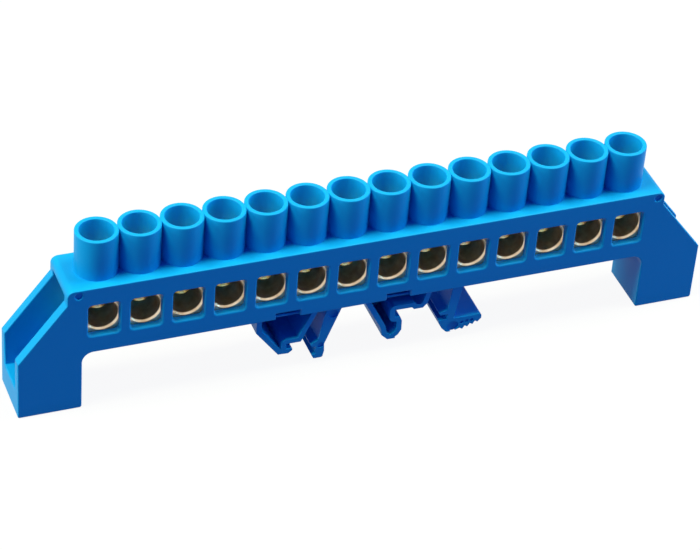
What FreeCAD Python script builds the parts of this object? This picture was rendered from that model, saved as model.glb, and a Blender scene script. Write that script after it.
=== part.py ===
import FreeCAD, Part
import math
import os

from FreeCAD import Vector

# Neutral busbar with 14 ways. Millimetres, X along the row, Y from the wire side to the back, Z up.
# The origin is the middle of the footprint, at the height on which the two legs stand.

# Row of ways
ways = 14
way_pitch = 8.8

# Brass bar and its holes
bar_thickness = 9.5
bar_height = 12.0
bar_end_clearance = 0.3
wire_hole_diameter = 6.6
wire_hole_height = 6.1
wire_hole_chamfer = 0.35
bar_edge_chamfer = 0.3

# Clamp screws, M6
screw_diameter = 6.0
screw_shank_length = 9.8
screw_point_diameter = 4.2
screw_point_length = 1.3
screw_protrusion = 3.5
screw_head_diameter = 6.6
screw_head_height = 2.0
slot_width = 1.0
slot_depth = 1.1
thread_clearance = 0.05

# Channel that holds the bar; the bar goes in from the right and stops at the left trough
side_clearance = 0.1
top_clearance = 0.2
front_wall = 1.6
back_wall = 1.4
stop_front_wall = 2.3
stop_back_wall = 2.1
floor_thickness = 1.8
deck_thickness = 2.2

# Chimneys over the screws
chimney_height = 9.5
chimney_outer_diameter = 8.9
chimney_bore = 7.0

# Wire windows in the front wall
window_width = 6.2
window_height = 7.25
window_sill_height = 2.65
window_corner_radius = 0.7

# Bridge legs at both ends
leg_height = 13.9
leg_width = 13.3
leg_overhang = 17.8
leg_inner_wall = 1.9
leg_floor = 5.9
leg_shoulder_height = 13.9
end_inset = 10.1
end_face_height = 3.3
leg_fillet = 2.4
outline_corner_radius = 0.5
deck_corner_radius = 1.5
outline_edge_chamfer = 0.25
fixing_hole_diameter = 4.5
fixing_hole_inset = 5.0
fixing_countersink = 0.5

# Marks left by the mould's ejector pins
wall_mark_diameter = 1.5
wall_mark_insets = (12.5, 11.7)
wall_mark_drop = 1.4
mark_depth = 0.4

# Foot for a 35 mm mounting rail; drops are measured down from the underside of the beam
rail_width = 35.0
rail_flange = 1.0
rail_play = 0.75
hook_clearance = 0.3
rail_seat_drop = 7.5
foot_recess = 0.75
foot_root = 0.6
foot_cell_wall = 1.15
foot_back_web = 1.2
fixed_hook_width = 6.8
fixed_hook_drop = 10.0
fixed_hook_lip = 1.35
fixed_hook_pad = 3.15
fixed_hook_lean = 0.46
side_hook_x = -11.4
side_hook_drop = 12.65
middle_hook_x = 5.9
middle_hook_drop = 11.15
middle_seat_drop = 4.2
middle_lean_left = 0.53
middle_lean_right = 0.28
relief_height = 1.65
relief_width = 5.2
relief_places = (-20.8, 3.4)
lever_slot_lift = 0.25
lever_lip = 1.9
lever_drop = 12.0
lever_tab_reach = 7.9
lever_tab_top_drop = 8.65
lever_teeth = 4
lever_tooth_pitch = 1.13
lever_tooth_slope = 0.36
lever_mark_diameter = 2.7
tab_mark_diameter = 0.8

# Worked out from the sizes above
depth = front_wall + bar_thickness + 2 * side_clearance + back_wall
row_length = (ways - 1) * way_pitch
half_length = row_length / 2 + leg_overhang
front_y = -depth / 2
back_y = depth / 2
channel_front_y = front_y + front_wall
channel_back_y = back_y - back_wall
row_y = (channel_front_y + channel_back_y) / 2
channel_floor_z = leg_height + floor_thickness
bar_top_z = channel_floor_z + bar_height
deck_under_z = bar_top_z + top_clearance
deck_z = deck_under_z + deck_thickness
rim_z = deck_z + chimney_height
wire_hole_z = channel_floor_z + wire_hole_height
window_sill_z = channel_floor_z + window_sill_height
bar_length = ways * way_pitch
screw_tip_z = wire_hole_z + wire_hole_diameter / 2 - screw_protrusion
head_under_z = screw_tip_z + screw_shank_length
stop_x = -bar_length / 2 - bar_end_clearance
trough_end_x = half_length - leg_width + leg_inner_wall
foot_front_y = front_y + foot_recess
foot_back_y = back_y - foot_recess
hook_x = (rail_width + rail_play) / 2
hook_slot_drop = rail_seat_drop + rail_flange + hook_clearance
rail_seat_z = leg_height - rail_seat_drop
way_x = [(i - (ways - 1) / 2) * way_pitch for i in range(ways)]


def rounded_wire(corners, y):
    """Closed outline in the XZ plane at y; each corner is (x, z) or (x, z, radius)."""
    points = [Vector(c[0], y, c[1]) for c in corners]
    radii = [c[2] if len(c) > 2 else 0.0 for c in corners]
    count = len(points)
    entries, exits, middles = [], [], []
    for i, corner in enumerate(points):
        if radii[i] == 0.0:
            entries.append(corner)
            exits.append(corner)
            middles.append(None)
            continue
        back = (points[i - 1] - corner).normalize()
        ahead = (points[(i + 1) % count] - corner).normalize()
        half_angle = back.getAngle(ahead) / 2
        reach = radii[i] / math.tan(half_angle)
        inward = (back + ahead).normalize()
        entries.append(corner + back * reach)
        exits.append(corner + ahead * reach)
        middles.append(corner + inward * (radii[i] / math.sin(half_angle) - radii[i]))
    edges = []
    for i in range(count):
        if middles[i] is not None:
            edges.append(Part.Arc(entries[i], middles[i], exits[i]).toShape())
        following = entries[(i + 1) % count]
        if exits[i].distanceToPoint(following) > 1e-6:
            edges.append(Part.makeLine(exits[i], following))
    return Part.Wire(edges)


def prism(corners, y_from, y_to):
    """Solid of an XZ outline between two depths."""
    face = Part.Face(rounded_wire(corners, y_from))
    return face.extrude(Vector(0, y_to - y_from, 0))


def box(x_range, y_range, z_range):
    """Box between three pairs of limits."""
    size = [high - low for low, high in (x_range, y_range, z_range)]
    return Part.makeBox(*size, Vector(x_range[0], y_range[0], z_range[0]))


def round_hole(x, z, diameter, y_from, y_to):
    """Cylinder along Y."""
    return Part.makeCylinder(diameter / 2, y_to - y_from, Vector(x, y_from, z), Vector(0, 1, 0))


def pin_mark(x, z, diameter, wall_y):
    """Shallow round mark in a wall that faces the wire side."""
    return round_hole(x, z, diameter, wall_y - 1, wall_y + mark_depth)


def bridge():
    """Deck, walls and both legs as one solid block with eased outer edges."""
    end_x = half_length - end_inset
    leg_x = half_length - leg_width
    end_z = deck_z - end_face_height
    right = [
        (leg_x, leg_height, leg_fillet),
        (leg_x, 0, outline_corner_radius),
        (half_length, 0, outline_corner_radius),
        (half_length, leg_shoulder_height, outline_corner_radius),
        (end_x, end_z, outline_corner_radius),
        (end_x, deck_z, deck_corner_radius),
    ]
    left = [(-x, z, radius) for x, z, radius in reversed(right)]
    block = prism(right + left, front_y, back_y)
    outer_edges = [e for e in block.Edges if abs(abs(e.CenterOfMass.y) - depth / 2) < 1e-6]
    return block.makeChamfer(outline_edge_chamfer, outer_edges)


def post(x, diameter, z_from, z_to):
    """Upright cylinder on the row's middle line."""
    return Part.makeCylinder(diameter / 2, z_to - z_from, Vector(x, row_y, z_from))


def chimney(x):
    """Outside of one chimney, rooted in the deck."""
    return post(x, chimney_outer_diameter, deck_z - deck_thickness / 2, rim_z)


def chimney_core(x):
    """Bore of one chimney, down through the deck."""
    return post(x, chimney_bore, deck_under_z - deck_thickness / 2, rim_z + 1)


def window(x):
    """Rounded window through the front wall."""
    half = window_width / 2
    low = window_sill_z
    high = low + window_height
    r = window_corner_radius
    corners = [(x - half, low, r), (x + half, low, r), (x + half, high, r), (x - half, high, r)]
    return prism(corners, front_y - front_wall, channel_front_y + side_clearance)


def channel():
    """Space for the bar, with the open troughs of both legs; the left one is narrower."""
    beyond = half_length + 1
    wide = (channel_front_y, channel_back_y)
    narrow = (front_y + stop_front_wall, back_y - stop_back_wall)
    heights = (channel_floor_z, deck_under_z)
    trough_heights = (leg_floor, deck_under_z)
    space = box((stop_x, beyond), wide, heights)
    passage = box((-beyond, stop_x), narrow, heights)
    right_trough = box((trough_end_x, beyond), wide, trough_heights)
    left_trough = box((-beyond, -trough_end_x), narrow, trough_heights)
    return space.fuse([passage, right_trough, left_trough])


def fixing_hole(side):
    """Screw hole through the floor of one leg, eased at its top edge."""
    x = side * (half_length - fixing_hole_inset)
    radius = fixing_hole_diameter / 2
    hole = Part.makeCylinder(radius, leg_floor + 2, Vector(x, row_y, -1))
    ease = Part.makeCone(radius, radius + fixing_countersink, fixing_countersink,
                         Vector(x, row_y, leg_floor - fixing_countersink))
    return hole.fuse(ease)


def hollow(corners):
    """Core that leaves an even wall inside an outline and a web at the back."""
    face = Part.Face(rounded_wire([c[:2] for c in corners], foot_front_y))
    inner = face.makeOffset2D(-foot_cell_wall)
    space = inner.extrude(Vector(0, foot_back_y - foot_back_web - foot_front_y, 0))
    lead = inner.extrude(Vector(0, -foot_recess / 2, 0))
    below_beam = box((-half_length, half_length), (front_y, back_y), (-leg_height, 0))
    return space.fuse(lead).common(below_beam)


def fixed_hook():
    """Hollow cell whose lip holds one edge of the rail."""
    x = -hook_x
    outer_x = x - fixed_hook_width
    inner_x = x + fixed_hook_pad
    seat = -rail_seat_drop
    slot = -hook_slot_drop
    foot_z = -fixed_hook_drop
    lip_x = x + fixed_hook_lip

    def closed(start, z):
        leaning_side = (inner_x + fixed_hook_lean * (z - seat), z)
        return start + [(x, seat), (inner_x, seat), leaning_side, (outer_x, z)]

    outside = [
        (outer_x, -3.3), (x - 1.75, foot_z + 0.05), (x + 0.5, foot_z, 0.4), (lip_x, foot_z + 0.65, 0.3),
        (lip_x, slot, 0.2), (x, slot),
    ]
    inside = [(outer_x, -3.3), (x - 1.75, foot_z + 0.05), (x, foot_z)]
    body = prism(closed(outside, foot_root), foot_front_y, foot_back_y)
    return body.cut(hollow(closed(inside, foot_cell_wall)))


def side_hook():
    """Leg with a small hook for an asymmetric rail."""
    x = side_hook_x
    foot_z = -side_hook_drop
    outline = [
        (x + 2.2, foot_root), (x + 1.4, -2.5), (x + 0.5, -7.95), (x - 1.1, -8.85, 0.1),
        (x - 1.05, -9.2, 0.1), (x, -9.7), (x, foot_z + 1.1), (x - 0.8, foot_z + 0.95, 0.1),
        (x - 0.3, foot_z, 0.3), (x + 1.65, foot_z, 0.5), (x + 2.0, foot_z + 1.55), (x + 1.9, -9.2),
        (x + 5.6, foot_root),
    ]
    leg = prism(outline, foot_front_y, foot_back_y)
    return leg.cut([pin_mark(x + 1.1, -9.35, 1.4, foot_front_y), pin_mark(x + 3.4, -1.6, 2.1, foot_front_y)])


def middle_hook():
    """Hollow cell with the high hook and the seat beside it."""
    x = middle_hook_x
    foot_z = -middle_hook_drop
    seat = -middle_seat_drop
    left_x = x - 3.0
    left_z = foot_z + 3.35
    right_x = x + 7.1
    right_z = seat + 1.0
    outline = [
        (left_x, left_z), (x - 2.6, foot_z + 1.35), (x - 1.3, foot_z + 0.05), (x + 0.4, foot_z),
        (x + 0.4, foot_z + 0.45), (x + 1.1, foot_z + 0.95), (x + 1.75, foot_z + 2.05),
        (x + 1.7, foot_z + 4.45), (x + 1.2, foot_z + 5.65), (x, foot_z + 5.7), (x, seat + 0.6),
        (x + 3.7, seat + 0.6), (x + 4.2, seat), (x + 6.2, seat), (right_x, right_z),
    ]

    def closed(z):
        right = (right_x + middle_lean_right * (z - right_z), z)
        left = (left_x - middle_lean_left * (z - left_z), z)
        return outline + [right, left]

    body = prism(closed(foot_root), foot_front_y, foot_back_y)
    return body.cut(hollow(closed(foot_cell_wall)))


def spring_lever():
    """Springy arm with the second rail hook and a ribbed finger tab."""
    x = hook_x
    seat = -rail_seat_drop + lever_slot_lift
    slot = -hook_slot_drop + lever_slot_lift
    foot_z = -lever_drop
    tab_top = -lever_tab_top_drop
    tab_end = x + lever_tab_reach
    outline = [
        (x + 0.75, foot_root), (x + 0.5, -1.8), (x - 0.05, seat + 1.3), (x - lever_lip, seat + 0.6, 0.1),
        (x - 1.6, seat), (x, seat), (x, slot), (x - lever_lip, slot, 0.1), (x - 1.65, slot - 0.85),
        (x - 1.1, foot_z + 1.3, 0.8), (x + 0.1, foot_z, 0.9), (x + 1.8, foot_z, 0.5),
    ]
    for i in range(lever_teeth):
        along = i * lever_tooth_pitch
        peak_x = x + 3.75 + along
        peak_z = foot_z + 0.08 + along * lever_tooth_slope
        outline.append((peak_x - 0.62, peak_z + 0.43))
        outline.append((peak_x, peak_z, 0.12))
    outline += [
        (tab_end - 0.7, tab_top - 1.9), (tab_end, tab_top - 1.15, 0.4), (tab_end, tab_top, 0.45),
        (x + 1.45, tab_top, 0.3), (x + 3.1, foot_root),
    ]
    lever = prism(outline, foot_front_y, foot_back_y)
    marks = [pin_mark(x + 1.45, foot_z + 1.3, lever_mark_diameter, foot_front_y)]
    for i in range(lever_teeth - 1):
        mark_x = x + 3.5 + i * lever_tooth_pitch
        marks.append(pin_mark(mark_x, foot_z + 2.0 + 0.1 * i, tab_mark_diameter, foot_front_y))
    return lever.cut(marks)


def rail_foot():
    """The four profiles of the foot, brought up to the underside of the beam."""
    foot = fixed_hook().fuse([side_hook(), middle_hook(), spring_lever()])
    foot.translate(Vector(0, 0, leg_height))
    return foot


def relief(x_from):
    """Notch in the lower edge of the front wall above a hollow cell of the foot."""
    heights = (leg_height - 1, leg_height + relief_height)
    return box((x_from, x_from + relief_width), (front_y - 1, channel_front_y), heights)


def housing():
    """The whole blue moulding."""
    body = bridge().fuse([chimney(x) for x in way_x])
    cores = [channel()] + [window(x) for x in way_x] + [chimney_core(x) for x in way_x]
    cores += [fixing_hole(side) for side in (-1, 1)]
    cores += [relief(x_from) for x_from in relief_places]
    for side, inset in zip((-1, 1), wall_mark_insets):
        mark_x = side * (half_length - inset)
        mark_z = deck_z - wall_mark_drop
        cores.append(pin_mark(mark_x, mark_z, wall_mark_diameter, front_y))
    body = body.cut(cores)
    return body.fuse(rail_foot()).removeSplitter()


def busbar():
    """Brass bar with a wire hole and a screw hole at each way."""
    y_front = row_y - bar_thickness / 2
    y_back = row_y + bar_thickness / 2
    blank = box((-bar_length / 2, bar_length / 2), (y_front, y_back), (channel_floor_z, bar_top_z))
    long_edges = [e for e in blank.Edges if e.Length > bar_length - 1]
    blank = blank.makeChamfer(bar_edge_chamfer, long_edges)
    radius = wire_hole_diameter / 2
    wide = radius + wire_hole_chamfer
    thread_diameter = screw_diameter + 2 * thread_clearance
    cuts = []
    for x in way_x:
        cuts.append(round_hole(x, wire_hole_z, wire_hole_diameter, y_front - 1, y_back + 1))
        mouth = Vector(x, y_front, wire_hole_z)
        cuts.append(Part.makeCone(wide, radius, wire_hole_chamfer, mouth, Vector(0, 1, 0)))
        cuts.append(post(x, thread_diameter, wire_hole_z, bar_top_z + 1))
    return blank.cut(cuts)


def clamp_screw(x):
    """Clamp screw with a slotted cheese head and a blunt point; its thread is left plain."""
    top = head_under_z + screw_head_height
    shoulder_z = screw_tip_z + screw_point_length
    shank = post(x, screw_diameter, shoulder_z, head_under_z)
    point = post(x, screw_point_diameter, screw_tip_z, shoulder_z)
    head = post(x, screw_head_diameter, head_under_z, top)
    solid = shank.fuse([point, head]).removeSplitter()
    half = slot_width / 2
    reach = screw_head_diameter
    return solid.cut(box((x - reach, x + reach), (row_y - half, row_y + half), (top - slot_depth, top + 1)))


def pieces():
    """Every node of the part by name."""
    parts = {"housing": housing(), "busbar": busbar()}
    for number, x in enumerate(way_x, start=1):
        parts["clamp_screw_%02d" % number] = clamp_screw(x)
    return parts


os.makedirs("parts", exist_ok=True)
for name, shape in pieces().items():
    solids = shape.Solids
    shape = solids[0] if len(solids) == 1 else shape
    shape.exportStep("parts/%s.step" % name)
    print(name, "solids", len(solids), "valid", shape.isValid(), "volume", round(shape.Volume, 1))
print("rail seat at z", rail_seat_z, "wire holes at z", wire_hole_z)
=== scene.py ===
import math

import bmesh
import bpy
from mathutils import Matrix, Vector


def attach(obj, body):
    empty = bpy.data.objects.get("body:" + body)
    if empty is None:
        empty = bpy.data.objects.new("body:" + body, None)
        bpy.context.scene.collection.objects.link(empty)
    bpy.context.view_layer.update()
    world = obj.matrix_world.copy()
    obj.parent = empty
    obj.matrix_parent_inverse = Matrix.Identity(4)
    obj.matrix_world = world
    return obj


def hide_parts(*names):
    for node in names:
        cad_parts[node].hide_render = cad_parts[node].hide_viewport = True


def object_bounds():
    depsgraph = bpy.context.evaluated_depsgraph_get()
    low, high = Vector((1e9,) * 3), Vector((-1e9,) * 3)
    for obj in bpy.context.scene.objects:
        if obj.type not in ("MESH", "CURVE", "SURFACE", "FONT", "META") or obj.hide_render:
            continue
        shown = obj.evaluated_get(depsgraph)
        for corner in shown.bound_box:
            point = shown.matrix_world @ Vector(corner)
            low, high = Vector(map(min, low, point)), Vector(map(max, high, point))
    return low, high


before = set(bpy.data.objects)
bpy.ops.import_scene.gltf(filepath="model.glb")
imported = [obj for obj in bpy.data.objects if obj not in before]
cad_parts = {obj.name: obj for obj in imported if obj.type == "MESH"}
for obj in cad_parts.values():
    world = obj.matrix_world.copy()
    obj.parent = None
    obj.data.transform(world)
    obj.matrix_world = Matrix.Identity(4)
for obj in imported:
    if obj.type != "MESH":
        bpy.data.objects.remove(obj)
cad_low, cad_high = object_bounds()

MM = 0.001
BLOCK = "block"

# Row of ways
WAYS = 14
WAY_PITCH = 8.8 * MM
FIRST_WAY_X = -(WAYS - 1) / 2 * WAY_PITCH
ROW_Y = 0.1 * MM

# Moulding; a little of each chimney stands inside the deck, and the old ones are cut off a hair above it
CHIMNEY_HEIGHT = 9.5 * MM
CHIMNEY_DIAMETER = 8.9 * MM
CHIMNEY_BORE = 6.99 * MM
CHIMNEY_ROOT = 0.5 * MM
CHIMNEY_FACETS = 96
RIM_ROUNDING = 0.22 * MM
RIM_STEPS = 4
DECK_Z = cad_high[2] - CHIMNEY_HEIGHT
DECK_CUT_LIFT = 0.002 * MM
DECK_EDGE_MARGIN = DECK_CUT_LIFT / 4

# Rounding of the moulding's edges; the foot gets a share of it, and none on edges below the fine length
MOULDED_ROUNDING = 0.25 * MM
FOOT_SHARE = 0.3
FOOT_TOP_Z = 13.8 * MM
FOOT_REACH_X = 60 * MM
FINE_EDGE = 1.1 * MM

# Wire windows with their rounded surround
FRONT_Y = cad_low[1]
WINDOW_WIDTH = 6.64 * MM
WINDOW_LOW_Z = 18.05 * MM
WINDOW_HIGH_Z = 25.72 * MM
WINDOW_CORNER = 0.85 * MM
WINDOW_SURROUND = 0.4 * MM
WINDOW_CUT_DEPTH = 1.75 * MM
CORNER_STEPS = 8
SURROUND_STEPS = 6

# Pockets that carry the reliefs over the rail foot on into the beam
POCKET_LEFT_EDGES = (-20.8 * MM, 3.4 * MM)
POCKET_WIDTH = 5.2 * MM
POCKET_DEPTH_Y = (-5.2 * MM, 2.0 * MM)
POCKET_HEIGHT_Z = (13.5 * MM, 15.5 * MM)

# Clamp screws
THREAD_DIAMETER = 6.0 * MM
THREAD_PITCH = 1.0 * MM
THREAD_DEPTH = 0.55 * MM
THREAD_ROOT_LEVEL = 1.15
THREAD_FLANK_SLOPE = 1.4
SHANK_LENGTH = 9.8 * MM
POINT_DIAMETER = 4.2 * MM
POINT_LENGTH = 1.3 * MM
POINT_FLARE = 1.2
HEAD_DIAMETER = 6.6 * MM
HEAD_HEIGHT = 2.0 * MM
HEAD_OVERLAP = 0.3 * MM
SLOT_WIDTH = 1.0 * MM
SLOT_DEPTH = 1.1 * MM
SCREW_TIP_Z = 21.6 * MM
SCREW_FACETS = 36
SCREW_ROWS = 92
SCREW_ROUNDING = 0.18 * MM

# Brass bar
BRASS_ROUNDING = 0.05 * MM

# Meshes
WELD = 0.001 * MM
FLAT_ANGLE = math.radians(0.5)
MOULDED_SHARP = math.radians(50)
METAL_SHARP = math.radians(35)
ROUNDING_STEPS = 3
FACE_AREA_WEIGHT = 100

# Colours as shares of red, green, blue and cover
WHITE = (1, 1, 1, 1)
PLASTIC_DEEP = (0.002, 0.345, 0.75, 1)
PLASTIC_LIGHT = (0.002, 0.365, 0.79, 1)
BRASS_CLEAN = (0.93, 0.78, 0.56, 1)
BRASS_TARNISHED = (0.70, 0.50, 0.29, 1)
FLOOR_BOUNCE = (0.05, 0.06, 0.18, 1)
FLOOR_PALE = (0.85, 0.85, 0.85, 1)
FILL_COLOUR = (0.04, 0.16, 1.0, 1)

# Yellow passivation, by its place in the drift from greenish to rose
ZINC_STOPS = (
    (0.25, (0.50, 0.62, 0.22)),
    (0.5, (0.80, 0.74, 0.36)),
    (0.75, (0.78, 0.56, 0.40)),
)

# Lighting, in metres: each softbox has its name, position, size, level and colour
SOFTBOXES = (
    ("upper_left_softbox", (-0.5, 0.0, 0.95), 0.4, 0.88, (1.0, 1.0, 0.7)),
    ("upper_right_softbox", (0.45, 0.0, 0.95), 0.4, 0.72, (1.0, 1.0, 0.6)),
    ("left_softbox", (-1.05, 0.1, 0.35), 0.5, 0.5, (0.92, 1.0, 0.8)),
    ("right_softbox", (1.05, -0.2, 0.3), 0.4, 0.44, (0.2, 0.62, 1.0)),
)
LAMP_AIM = (0, 0, 0.02)
FILL_STRENGTH = 0.29

# Floor, a hair below the part
FLOOR_HALF = 3.0
FLOOR_DROP = 0.02 * MM
FLOOR_WHITE_SHARE = 0.93

# Camera, fitted to the photograph of 700 x 550 pixels
CAMERA_AZIMUTH = math.radians(-22.8672)
CAMERA_ELEVATION = math.radians(37.6665)
CAMERA_ROLL = math.radians(4.6604)
CAMERA_DISTANCE = 598.1997 * MM
CAMERA_AIM = Vector((0, -0.1 * MM, 19.9 * MM))
CAMERA_SIDESTEP = -2.4559 * MM
CAMERA_RISE = -2.7396 * MM
CAMERA_NEAR = 0.01
CAMERA_FAR = 20
FOCAL_PIXELS = 2896.72
IMAGE_WIDTH = 700
SENSOR_WIDTH = 36.0


class Value:
    """A node's output that can be used in sums and products."""

    def __init__(self, tree, socket):
        self.tree = tree
        self.socket = socket

    def _math(self, operation, *terms):
        return self.tree.node("ShaderNodeMath", {"operation": operation}, dict(enumerate(terms)))

    def __add__(self, other):
        return self._math("ADD", self, other)

    def __radd__(self, other):
        return self._math("ADD", other, self)

    def __sub__(self, other):
        return self._math("SUBTRACT", self, other)

    def __rsub__(self, other):
        return self._math("SUBTRACT", other, self)

    def __mul__(self, other):
        return self._math("MULTIPLY", self, other)

    def __rmul__(self, other):
        return self._math("MULTIPLY", other, self)

    def __truediv__(self, other):
        return self._math("DIVIDE", self, other)

    def __rtruediv__(self, other):
        return self._math("DIVIDE", other, self)

    def at_most(self, other):
        return self._math("MINIMUM", self, other)

    def at_least(self, other):
        return self._math("MAXIMUM", self, other)

    def above(self, other):
        return self._math("GREATER_THAN", self, other)

    def magnitude(self):
        return self._math("ABSOLUTE", self)

    def fraction(self):
        return self._math("FRACT", self)

    def sine(self):
        return self._math("SINE", self)

    def cosine(self):
        return self._math("COSINE", self)


class Tree:
    """Builds the nodes of one tree."""

    def __init__(self, tree):
        self.tree = tree

    def node(self, kind, settings=None, values=None, output=0):
        """Adds a node: its settings first, then numbers or links for its sockets.

        A list links each of its members to the same socket.
        """
        made = self.tree.nodes.new(kind)
        for name, setting in (settings or {}).items():
            if name == "stops":
                self.set_stops(made.color_ramp, setting)
            else:
                setattr(made, name, setting)
        for name, value in (values or {}).items():
            if isinstance(value, (Value, list)):
                for source in value if isinstance(value, list) else [value]:
                    self.tree.links.new(source.socket, made.inputs[name])
            else:
                made.inputs[name].default_value = value
        return Value(self, made.outputs[output]) if made.outputs else None

    def point(self, x, y, z):
        """Vector from three numbers or values."""
        return self.node("ShaderNodeCombineXYZ", values={"X": x, "Y": y, "Z": z})

    @staticmethod
    def set_stops(ramp, stops):
        """Gives a colour ramp its stops."""
        while len(ramp.elements) < len(stops):
            ramp.elements.new(0.5)
        for element, (place, colour) in zip(ramp.elements, stops):
            element.position = place
            element.color = (*colour, 1)


def new_material(name):
    """Empty material with its tree."""
    material = bpy.data.materials.new(name)
    material.use_nodes = True
    material.node_tree.nodes.clear()
    return material, Tree(material.node_tree)


def finish_material(tree, shader):
    """Ends a material's tree with its surface."""
    tree.node("ShaderNodeOutputMaterial", values={"Surface": shader})


def object_noise(tree, scale, detail, stretch=(1, 1, 1)):
    """Noise from 0 to 1 on the piece's own coordinates; scale is in waves per metre."""
    place = tree.node("ShaderNodeTexCoord", output="Object")
    if stretch != (1, 1, 1):
        place = tree.node("ShaderNodeMapping", values={"Vector": place, "Scale": stretch})
    return tree.node("ShaderNodeTexNoise", values={"Vector": place, "Scale": scale, "Detail": detail})


def mix_colour(tree, amount, first, second):
    """Blend of two colours; 6 and 7 are the node's colour inputs and 2 is its colour output."""
    return tree.node("ShaderNodeMix", {"data_type": "RGBA"}, {0: amount, 6: first, 7: second}, output=2)


def mix_shader(tree, amount, first, second):
    """Blend of two shaders."""
    return tree.node("ShaderNodeMixShader", values={0: amount, 1: first, 2: second})


def bump(tree, height, distance, strength):
    """Relief that a height from 0 to 1 gives to the surface."""
    return tree.node("ShaderNodeBump", values={"Height": height, "Distance": distance, "Strength": strength})


def blue_plastic():
    """Satin moulded plastic: a fine spark-eroded grain and a faint clouding of the colour."""
    material, tree = new_material("moulded_blue_plastic")
    cloud = object_noise(tree, scale=45, detail=3)
    grain = object_noise(tree, scale=5200, detail=2)
    flow = object_noise(tree, scale=160, detail=4, stretch=(0.25, 1, 1))
    shader = tree.node("ShaderNodeBsdfPrincipled", values={
        "Base Color": mix_colour(tree, cloud, PLASTIC_DEEP, PLASTIC_LIGHT),
        "Roughness": 0.36 + flow * 0.1 + grain * 0.08,
        "Specular IOR Level": 0.15,
        "Normal": bump(tree, grain, distance=0.02 * MM, strength=0.25),
    })
    finish_material(tree, shader)
    return material


def drawn_brass():
    """Brass bar: drawn lines along its length and a light tarnish."""
    material, tree = new_material("drawn_brass")
    lines = object_noise(tree, scale=3000, detail=3, stretch=(0.02, 1, 1))
    tarnish = ((object_noise(tree, scale=420, detail=3) - 0.5) * 3 + 0.5).at_least(0).at_most(1)
    shader = tree.node("ShaderNodeBsdfPrincipled", values={
        "Base Color": mix_colour(tree, tarnish, BRASS_CLEAN, BRASS_TARNISHED),
        "Metallic": 0.85,
        "Roughness": 0.24 + lines * 0.1 + tarnish * 0.08,
        "Normal": bump(tree, lines, distance=0.02 * MM, strength=0.3),
    })
    finish_material(tree, shader)
    return material


def passivated_zinc():
    """Zinc plating with a yellow passivation that drifts towards green and rose."""
    material, tree = new_material("yellow_passivated_zinc")
    drift = object_noise(tree, scale=520, detail=3)
    pits = object_noise(tree, scale=4000, detail=2)
    shader = tree.node("ShaderNodeBsdfPrincipled", values={
        "Base Color": tree.node("ShaderNodeValToRGB", {"stops": ZINC_STOPS}, {"Fac": drift}),
        "Metallic": 1.0,
        "Roughness": 0.2 + pits * 0.12,
        "Normal": bump(tree, pits, distance=0.01 * MM, strength=0.3),
    })
    finish_material(tree, shader)
    return material


PLASTIC = blue_plastic()
BRASS = drawn_brass()
ZINC = passivated_zinc()


def finish_piece(piece, name, body, material, nodes=()):
    """Names a piece, gives it its material, ties it to its body and hides the nodes that it stands for."""
    piece.name = name
    piece.data.name = name
    piece.data.materials.clear()
    piece.data.materials.append(material)
    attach(piece, body)
    if nodes:
        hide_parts(*nodes)


def new_object(data, name):
    """Object in the scene from a mesh, lamp or camera."""
    made = bpy.data.objects.new(name, data)
    bpy.context.scene.collection.objects.link(made)
    return made


def plain_mesh(source, name):
    """New object with the evaluated mesh of another."""
    graph = bpy.context.evaluated_depsgraph_get()
    mesh = bpy.data.meshes.new_from_object(source.evaluated_get(graph))
    return new_object(mesh, name)


def new_shape(name, sizes):
    """Geometry tree with named sizes: the group, its tree and the sizes as values."""
    group = bpy.data.node_groups.new(name, "GeometryNodeTree")
    group.interface.new_socket("Geometry", in_out="OUTPUT", socket_type="NodeSocketGeometry")
    for label, size in sizes.items():
        kind = "NodeSocketInt" if isinstance(size, int) else "NodeSocketFloat"
        group.interface.new_socket(label, in_out="INPUT", socket_type=kind)
    group.interface.new_socket("Material", in_out="INPUT", socket_type="NodeSocketMaterial")
    tree = Tree(group)
    entry = group.nodes.new("NodeGroupInput")
    return group, tree, {label: Value(tree, entry.outputs[label]) for label in [*sizes, "Material"]}


def finish_shape(tree, geometry, material):
    """Ends a geometry tree with real faces in one material."""
    faces = tree.node("GeometryNodeRealizeInstances", values={"Geometry": geometry})
    faces = tree.node("GeometryNodeSetMaterial", values={"Geometry": faces, "Material": material})
    tree.node("NodeGroupOutput", values={"Geometry": faces})


def grown_piece(group, name, material, sizes):
    """Plain mesh object that a geometry tree makes from the given sizes."""
    seed = new_object(bpy.data.meshes.new(name), name)
    modifier = seed.modifiers.new(name, "NODES")
    modifier.node_group = group
    for item in group.interface.items_tree:
        if item.in_out == "INPUT":
            modifier[item.identifier] = material if item.name == "Material" else sizes[item.name]
    piece = plain_mesh(seed, name)
    bpy.data.objects.remove(seed)
    return piece


def soften(piece, rounding, sharp_angle, share=lambda edge: 1.0):
    """Joins loose faces, shades them smooth and rounds the outer edges, each by its share of the rounding."""
    work = bmesh.new()
    work.from_mesh(piece.data)
    bmesh.ops.remove_doubles(work, verts=work.verts, dist=WELD)
    bmesh.ops.dissolve_limit(work, angle_limit=FLAT_ANGLE, verts=work.verts, edges=work.edges)
    weights = work.edges.layers.float.new("bevel_weight_edge")
    for face in work.faces:
        face.smooth = True
    for edge in work.edges:
        angle = edge.calc_face_angle_signed(0)
        edge.smooth = edge.is_manifold and abs(angle) < sharp_angle
        if angle >= sharp_angle:
            edge[weights] = share(edge)
    work.to_mesh(piece.data)
    work.free()
    bevel = piece.modifiers.new("rounded_edges", "BEVEL")
    bevel.limit_method = "WEIGHT"
    bevel.width = rounding
    bevel.segments = ROUNDING_STEPS
    bevel.use_clamp_overlap = False
    weighted = piece.modifiers.new("weighted_normals", "WEIGHTED_NORMAL")
    weighted.keep_sharp = True
    weighted.weight = FACE_AREA_WEIGHT
    return piece


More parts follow.
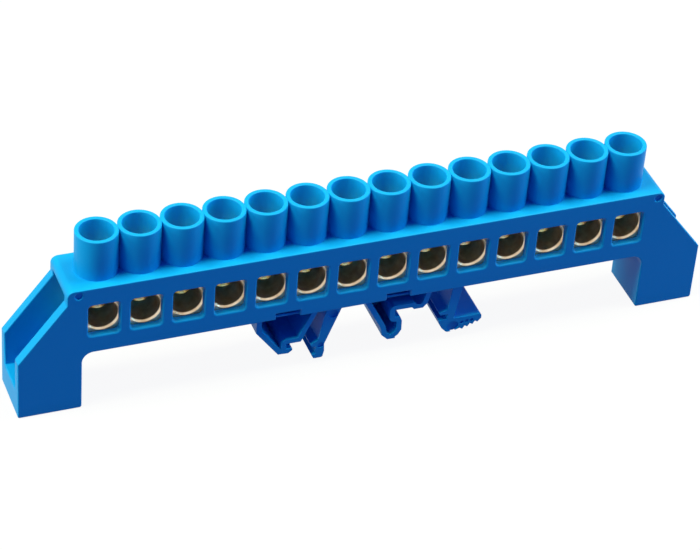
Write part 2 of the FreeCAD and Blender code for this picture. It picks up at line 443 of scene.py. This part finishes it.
def cad_copy(node, name):
    """Copy of a CAD node's mesh as an object of its own."""
    return new_object(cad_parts[node].data.copy(), name)


def without_chimneys(piece):
    """Cuts the chimneys off at the deck and closes the deck again."""
    work = bmesh.new()
    work.from_mesh(piece.data)
    bmesh.ops.remove_doubles(work, verts=work.verts, dist=WELD)
    everything = work.verts[:] + work.edges[:] + work.faces[:]
    deck = (0, 0, DECK_Z + DECK_CUT_LIFT)
    bmesh.ops.bisect_plane(work, geom=everything, plane_co=deck, plane_no=(0, 0, 1), clear_outer=True)
    openings = [edge for edge in work.edges if edge.is_boundary]
    bmesh.ops.triangle_fill(work, edges=openings, normal=(0, 0, 1))
    work.to_mesh(piece.data)
    work.free()
    return piece


def window_outline(growth):
    """Points of a window's rounded rectangle as x and z from its middle, grown outwards all round."""
    half_width = WINDOW_WIDTH / 2 - WINDOW_CORNER
    half_height = (WINDOW_HIGH_Z - WINDOW_LOW_Z) / 2 - WINDOW_CORNER
    radius = WINDOW_CORNER + growth
    points = []
    for quarter, (across, up) in enumerate(((1, 1), (-1, 1), (-1, -1), (1, -1))):
        for step in range(CORNER_STEPS + 1):
            turn = math.pi / 2 * (quarter + step / CORNER_STEPS)
            x = across * half_width + radius * math.cos(turn)
            z = up * half_height + radius * math.sin(turn)
            points.append((x, z))
    return points


def window_sections():
    """A window cutter's sections from the inside out, each as its y and how far it has grown."""
    sections = [(FRONT_Y + WINDOW_CUT_DEPTH, 0.0)]
    for step in range(SURROUND_STEPS + 1):
        turn = math.pi / 2 * step / SURROUND_STEPS
        y = FRONT_Y + WINDOW_SURROUND * (1 - math.sin(turn))
        sections.append((y, WINDOW_SURROUND * (1 - math.cos(turn))))
    sections.append((FRONT_Y - WINDOW_SURROUND, WINDOW_SURROUND))
    return sections


def join_rings(work, rings):
    """Closed surface over a row of rings."""
    for near, far in zip(rings, rings[1:]):
        for place in range(len(near)):
            after = (place + 1) % len(near)
            work.faces.new((near[place], near[after], far[after], far[place]))
    work.faces.new(rings[0])
    work.faces.new(rings[-1])


def moulding_cutters():
    """Closed shapes that cut the windows, each opening in a quarter round to the front, and the pockets."""
    sections = window_sections()
    middle_z = (WINDOW_LOW_Z + WINDOW_HIGH_Z) / 2
    work = bmesh.new()
    for way in range(WAYS):
        way_x = FIRST_WAY_X + way * WAY_PITCH
        join_rings(work, [
            [work.verts.new((way_x + x, y, middle_z + z)) for x, z in window_outline(growth)]
            for y, growth in sections
        ])
    low, high = POCKET_HEIGHT_Z
    for left in POCKET_LEFT_EDGES:
        right = left + POCKET_WIDTH
        join_rings(work, [
            [work.verts.new((x, y, z)) for x, z in ((left, low), (right, low), (right, high), (left, high))]
            for y in POCKET_DEPTH_Y
        ])
    bmesh.ops.recalc_face_normals(work, faces=work.faces)
    mesh = bpy.data.meshes.new("moulding_cutters")
    work.to_mesh(mesh)
    work.free()
    return new_object(mesh, "moulding_cutters")


def cut_moulding(piece, name):
    """The moulding with its windows and pockets cut."""
    cutters = moulding_cutters()
    cut = piece.modifiers.new("cuts", "BOOLEAN")
    cut.operation = "DIFFERENCE"
    cut.solver = "EXACT"
    cut.object = cutters
    made = plain_mesh(piece, name)
    for used in (piece, cutters):
        bpy.data.objects.remove(used)
    return made


def moulding_share(edge):
    """Full rounding on the block, less on the foot, none on its finest edges, the windows or the cut deck."""
    middle = (edge.verts[0].co + edge.verts[1].co) / 2
    if middle.z > DECK_Z + DECK_EDGE_MARGIN:
        return 0.0
    in_row = abs(middle.x) < WAYS * WAY_PITCH / 2
    in_front_wall = middle.y < FRONT_Y + WINDOW_CUT_DEPTH
    if in_row and in_front_wall and WINDOW_LOW_Z - WELD < middle.z < WINDOW_HIGH_Z + WELD:
        return 0.0
    if middle.z < FOOT_TOP_Z and abs(middle.x) < FOOT_REACH_X:
        return FOOT_SHARE if edge.calc_length() > FINE_EDGE else 0.0
    return 1.0


def head_share(edge):
    """Full rounding on a screw's head, none on its shank."""
    return float(edge.verts[0].co.z > SCREW_TIP_Z + SHANK_LENGTH - WELD)


def chimney_row_shape(sizes):
    """Tree for the row of open tubes with rounded rims."""
    group, tree, size = new_shape("chimney_row", sizes)
    section = tree.node("GeometryNodeCurvePrimitiveQuadrilateral", values={
        "Width": (size["Outer Diameter"] - size["Bore"]) / 2,
        "Height": size["Height"],
    })
    section = tree.node("GeometryNodeFilletCurve", {"mode": "POLY"}, {
        "Curve": section, "Radius": size["Rounding"], "Count": RIM_STEPS,
    })
    path = tree.node("GeometryNodeCurvePrimitiveCircle", values={
        "Resolution": size["Facets"], "Radius": (size["Outer Diameter"] + size["Bore"]) / 4,
    })
    tube = tree.node("GeometryNodeCurveToMesh", values={"Curve": path, "Profile Curve": section})
    places = tree.node("GeometryNodeMeshLine", values={
        "Count": size["Count"],
        "Start Location": tree.point(size["First Place"], size["Row Depth"], size["Middle Height"]),
        "Offset": tree.point(size["Pitch"], 0, 0),
    })
    row = tree.node("GeometryNodeInstanceOnPoints", values={"Points": places, "Instance": tube})
    finish_shape(tree, row, size["Material"])
    return group


def threaded_shank(tree, size):
    """Closed surface of the shank: a grid wrapped round, with a helical ridge and a blunt point."""
    rows = size["Rows"]
    grid = tree.node("GeometryNodeMeshGrid", values={
        "Size X": 1, "Size Y": 1, "Vertices X": size["Facets"] + 1, "Vertices Y": rows + 1,
    })
    position = tree.node("GeometryNodeInputPosition")
    turn = tree.node("ShaderNodeSeparateXYZ", values={"Vector": position}, output="X") + 0.5
    row = (tree.node("ShaderNodeSeparateXYZ", values={"Vector": position}, output="Y") + 0.5) * rows
    length = size["Shank Length"] + size["Head Overlap"]
    height = ((row - 1) / (rows - 2)).at_least(0).at_most(1) * length
    ridge = ((height / size["Thread Pitch"] - turn + 1).fraction() * 2 - 1).magnitude()
    groove_share = (THREAD_ROOT_LEVEL - ridge * THREAD_FLANK_SLOPE).at_least(0).at_most(1)
    groove = groove_share * size["Thread Depth"]
    above_point = (height - size["Point Length"]).at_least(0)
    point_limit = size["Point Diameter"] / 2 + above_point * POINT_FLARE
    radius = (size["Thread Diameter"] / 2 - groove).at_most(point_limit)
    radius = radius * row.above(0.5) * (rows - 0.5).above(row)
    angle = turn * math.tau
    wrapped = tree.point(radius * angle.cosine(), radius * angle.sine(), height)
    shank = tree.node("GeometryNodeSetPosition", values={"Geometry": grid, "Position": wrapped})
    return tree.node("GeometryNodeMergeByDistance", values={"Geometry": shank, "Distance": WELD})


def slotted_head(tree, size):
    """Cheese head with its slot cut along the row."""
    head = tree.node("GeometryNodeMeshCylinder", values={
        "Vertices": size["Facets"], "Radius": size["Head Diameter"] / 2, "Depth": size["Head Height"],
    })
    head = tree.node("GeometryNodeTransform", values={
        "Geometry": head,
        "Translation": tree.point(0, 0, size["Shank Length"] + size["Head Height"] / 2),
    })
    cutter = tree.node("GeometryNodeMeshCube", values={
        "Size": tree.point(size["Head Diameter"] * 2, size["Slot Width"], size["Slot Depth"] * 2),
    })
    cutter = tree.node("GeometryNodeTransform", values={
        "Geometry": cutter,
        "Translation": tree.point(0, 0, size["Shank Length"] + size["Head Height"]),
    })
    return tree.node("GeometryNodeMeshBoolean", {"operation": "DIFFERENCE", "solver": "EXACT"},
                     {"Mesh 1": head, "Mesh 2": cutter})


def clamp_screw_shape(sizes):
    """Tree for one clamp screw, standing with its point at the given place."""
    group, tree, size = new_shape("clamp_screw", sizes)
    screw = tree.node("GeometryNodeJoinGeometry", values={
        "Geometry": [threaded_shank(tree, size), slotted_head(tree, size)],
    })
    screw = tree.node("GeometryNodeTransform", values={
        "Geometry": screw,
        "Translation": tree.point(size["Row Place"], size["Row Depth"], size["Tip Height"]),
    })
    finish_shape(tree, screw, size["Material"])
    return group


def build_housing():
    """Blue moulding with its row of chimneys."""
    body = cut_moulding(without_chimneys(cad_copy("housing", "housing_copy")), "housing_body")
    soften(body, MOULDED_ROUNDING, MOULDED_SHARP, moulding_share)
    finish_piece(body, "housing_body", BLOCK, PLASTIC, ["housing"])
    sizes = {
        "Outer Diameter": CHIMNEY_DIAMETER,
        "Bore": CHIMNEY_BORE,
        "Height": CHIMNEY_HEIGHT + CHIMNEY_ROOT,
        "Rounding": RIM_ROUNDING,
        "Facets": CHIMNEY_FACETS,
        "Count": WAYS,
        "Pitch": WAY_PITCH,
        "First Place": FIRST_WAY_X,
        "Row Depth": ROW_Y,
        "Middle Height": DECK_Z + (CHIMNEY_HEIGHT - CHIMNEY_ROOT) / 2,
    }
    row = grown_piece(chimney_row_shape(sizes), "chimney_row", PLASTIC, sizes)
    for face in row.data.polygons:
        face.use_smooth = True
    finish_piece(row, "chimney_row", BLOCK, PLASTIC)


def build_busbar():
    """Brass bar with its wire holes."""
    bar = soften(cad_copy("busbar", "brass_bar"), BRASS_ROUNDING, METAL_SHARP)
    finish_piece(bar, "brass_bar", BLOCK, BRASS, ["busbar"])


def build_clamp_screws():
    """One threaded screw for each way, on a body of its own."""
    sizes = {
        "Thread Diameter": THREAD_DIAMETER,
        "Thread Pitch": THREAD_PITCH,
        "Thread Depth": THREAD_DEPTH,
        "Shank Length": SHANK_LENGTH,
        "Point Diameter": POINT_DIAMETER,
        "Point Length": POINT_LENGTH,
        "Head Diameter": HEAD_DIAMETER,
        "Head Height": HEAD_HEIGHT,
        "Head Overlap": HEAD_OVERLAP,
        "Slot Width": SLOT_WIDTH,
        "Slot Depth": SLOT_DEPTH,
        "Facets": SCREW_FACETS,
        "Rows": SCREW_ROWS,
        "Row Place": 0.0,
        "Row Depth": ROW_Y,
        "Tip Height": SCREW_TIP_Z,
    }
    shape = clamp_screw_shape(sizes)
    for way in range(WAYS):
        node = "clamp_screw_%02d" % (way + 1)
        sizes["Row Place"] = FIRST_WAY_X + way * WAY_PITCH
        screw = grown_piece(shape, node + "_plated", ZINC, sizes)
        soften(screw, SCREW_ROUNDING, METAL_SHARP, head_share)
        finish_piece(screw, node + "_plated", node, ZINC, [node])


def softbox(name, position, size, level, colour):
    """Square lamp that looks at the part; level 1 lights a facing surface to its own colour."""
    lamp = bpy.data.lights.new(name, "AREA")
    lamp.shape = "SQUARE"
    lamp.size = size
    lamp.energy = level * (math.pi * Vector(position).length) ** 2
    lamp.color = colour
    made = new_object(lamp, name)
    made.location = position
    made.rotation_mode = "QUATERNION"
    made.rotation_quaternion = (Vector(LAMP_AIM) - Vector(position)).to_track_quat("-Z", "Y")


def background_rays(tree):
    """1 for rays that show the background: from the camera, in gloss and through glass."""
    camera_ray = tree.node("ShaderNodeLightPath", output="Is Camera Ray")
    glossy_ray = tree.node("ShaderNodeLightPath", output="Is Glossy Ray")
    through_ray = tree.node("ShaderNodeLightPath", output="Is Transmission Ray")
    return (camera_ray + glossy_ray + through_ray).at_most(1.0)


def studio():
    """Two softboxes above, one at each side and a white surround with a blue fill."""
    for settings in SOFTBOXES:
        softbox(*settings)
    world = bpy.data.worlds.new("white_studio")
    bpy.context.scene.world = world
    world.use_nodes = True
    world.node_tree.nodes.clear()
    tree = Tree(world.node_tree)
    fill = tree.node("ShaderNodeBackground", values={"Color": FILL_COLOUR, "Strength": FILL_STRENGTH})
    white = tree.node("ShaderNodeBackground", values={"Color": WHITE, "Strength": 1.0})
    surround = mix_shader(tree, background_rays(tree), fill, white)
    tree.node("ShaderNodeOutputWorld", values={"Surface": surround})


def floor():
    """Pale floor that shows white and keeps a soft shadow."""
    mesh = bpy.data.meshes.new("floor")
    corners = [(x * FLOOR_HALF, y * FLOOR_HALF, 0) for x, y in ((-1, -1), (1, -1), (1, 1), (-1, 1))]
    mesh.from_pydata(corners, [], [(0, 1, 2, 3)])
    made = new_object(mesh, "floor")
    made.location.z = -FLOOR_DROP
    material, tree = new_material("pale_floor")
    seen = background_rays(tree)
    colour = mix_colour(tree, seen, FLOOR_BOUNCE, FLOOR_PALE)
    pale = tree.node("ShaderNodeBsdfDiffuse", values={"Color": colour})
    white = tree.node("ShaderNodeEmission", values={"Color": WHITE, "Strength": 1.0})
    finish_material(tree, mix_shader(tree, seen * FLOOR_WHITE_SHARE, pale, white))
    mesh.materials.append(material)


def camera():
    """Camera at the photograph's viewpoint."""
    data = bpy.data.cameras.new("camera")
    data.sensor_width = SENSOR_WIDTH
    data.lens = FOCAL_PIXELS * SENSOR_WIDTH / IMAGE_WIDTH
    data.clip_start = CAMERA_NEAR
    data.clip_end = CAMERA_FAR
    made = new_object(data, "camera")
    level = math.cos(CAMERA_ELEVATION)
    back = Vector((
        math.sin(CAMERA_AZIMUTH) * level,
        -math.cos(CAMERA_AZIMUTH) * level,
        math.sin(CAMERA_ELEVATION),
    ))
    right = Vector((math.cos(CAMERA_AZIMUTH), math.sin(CAMERA_AZIMUTH), 0))
    up = back.cross(right)
    target = CAMERA_AIM + right * CAMERA_SIDESTEP + up * CAMERA_RISE
    axes = Matrix((right, up, back)).transposed()
    made.rotation_mode = "QUATERNION"
    made.rotation_quaternion = (axes @ Matrix.Rotation(CAMERA_ROLL, 3, "Z")).to_quaternion()
    made.location = target + back * CAMERA_DISTANCE
    bpy.context.scene.camera = made


build_housing()
build_busbar()
build_clamp_screws()
studio()
floor()
camera()
bpy.context.scene.view_settings.view_transform = "Standard"
